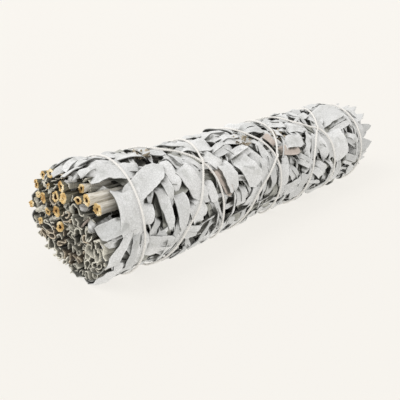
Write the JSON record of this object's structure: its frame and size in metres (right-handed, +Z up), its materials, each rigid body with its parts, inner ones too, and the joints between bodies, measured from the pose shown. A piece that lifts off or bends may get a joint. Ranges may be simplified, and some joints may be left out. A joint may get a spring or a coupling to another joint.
{
  "type": "dried sage bundle",
  "caption": "Dried white sage stems and leaves bound into a tight tapering bundle by one cotton thread wound crosswise, lying on its side.",
  "frame": {"origin": "bottom centre of the lying bundle, on the surface it rests on", "axes": "+X from the cut stem ends towards the leaf tips, +Z up, -Y towards the side that shows in the picture"},
  "size_m": [0.194, 0.0494, 0.0485],
  "materials": {
    "sage_leaf": "velvety matt, pale grey",
    "tan_leaf": "matt, pinkish tan",
    "cut_stem": "fibrous, yellow-orange cut ends and grey-beige bark",
    "dried_bud": "papery, brownish beige",
    "cotton_thread": "plied cotton, off-white"
  },
  "bodies": {
    "root": {"binding_thread": "cotton_thread", "stem_01": "cut_stem", "stem_02": "cut_stem", "stem_03": "cut_stem", "stem_04": "cut_stem", "stem_05": "cut_stem", "stem_06": "cut_stem", "stem_07": "cut_stem", "stem_08": "cut_stem", "stem_09": "cut_stem", "stem_10": "cut_stem", "stem_11": "cut_stem", "stem_12": "cut_stem", "stem_13": "cut_stem", "stem_14": "cut_stem", "stem_15": "cut_stem", "stem_16": "cut_stem", "stem_17": "cut_stem", "stem_18": "cut_stem", "tan_leaf_01": "tan_leaf", "tan_leaf_02": "tan_leaf", "tan_leaf_03": "tan_leaf", "tan_leaf_04": "tan_leaf", "wrap_leaf_01": "sage_leaf", "wrap_leaf_02": "sage_leaf", "wrap_leaf_03": "sage_leaf", "wrap_leaf_04": "sage_leaf", "wrap_leaf_05": "sage_leaf", "wrap_leaf_06": "sage_leaf", "wrap_leaf_07": "sage_leaf", "wrap_leaf_08": "sage_leaf", "wrap_leaf_09": "sage_leaf", "wrap_leaf_10": "sage_leaf", "wrap_leaf_11": "sage_leaf", "wrap_leaf_12": "sage_leaf", "bud_cluster_1": "dried_bud", "bud_cluster_2": "dried_bud", "bud_cluster_3": "dried_bud", "leaf_bunch": "sage_leaf"}
  },
  "joints": []
}
